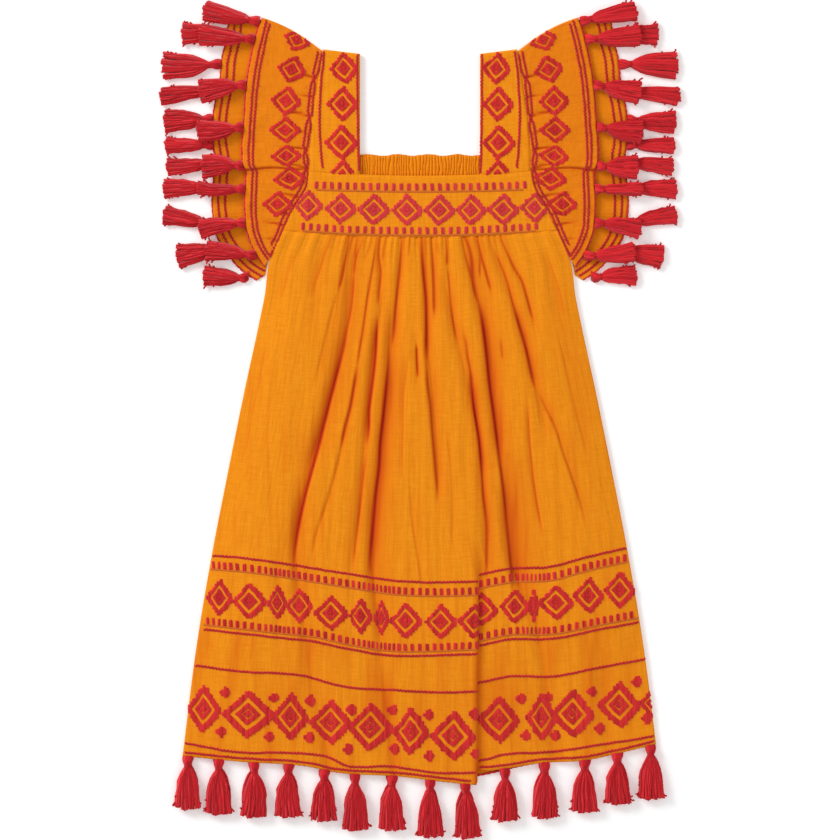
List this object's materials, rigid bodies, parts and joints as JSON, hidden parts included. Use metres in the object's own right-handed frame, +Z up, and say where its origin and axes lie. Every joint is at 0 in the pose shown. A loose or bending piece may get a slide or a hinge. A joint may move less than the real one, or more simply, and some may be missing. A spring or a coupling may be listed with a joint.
{
  "type": "tassel dress",
  "caption": "Child's flared dress laid flat, with square neck, folded flutter sleeves, gathered skirt, shirred back yoke and tassel trims on the sleeve edges and hem.",
  "frame": {"origin": "centre of the dress's bounding box, on the surface it lies on", "axes": "+X towards the wearer's left, +Y from hem to shoulder, +Z up off the surface, out of the dress's front"},
  "size_m": [0.4424, 0.7114, 0.01],
  "materials": {
    "cloth": "marigold crinkled cotton voile, matt",
    "shirred_cloth": "marigold cotton voile drawn up on rows of elastic",
    "tassel_yarn": "crimson cotton yarn, soft and matt"
  },
  "bodies": {
    "root": {"skirt_front": "cloth", "skirt_back": "cloth", "yoke_front": "cloth", "yoke_back": "shirred_cloth", "strap_left": "cloth", "strap_right": "cloth", "ruffle_left": "cloth", "ruffle_right": "cloth", "trim_hem_front_left": "tassel_yarn", "trim_hem_front_right": "tassel_yarn", "trim_hem_back": "tassel_yarn", "trim_ruffle_front_left": "tassel_yarn", "trim_ruffle_front_right": "tassel_yarn", "trim_ruffle_back_left": "tassel_yarn", "trim_ruffle_back_right": "tassel_yarn"}
  },
  "joints": []
}
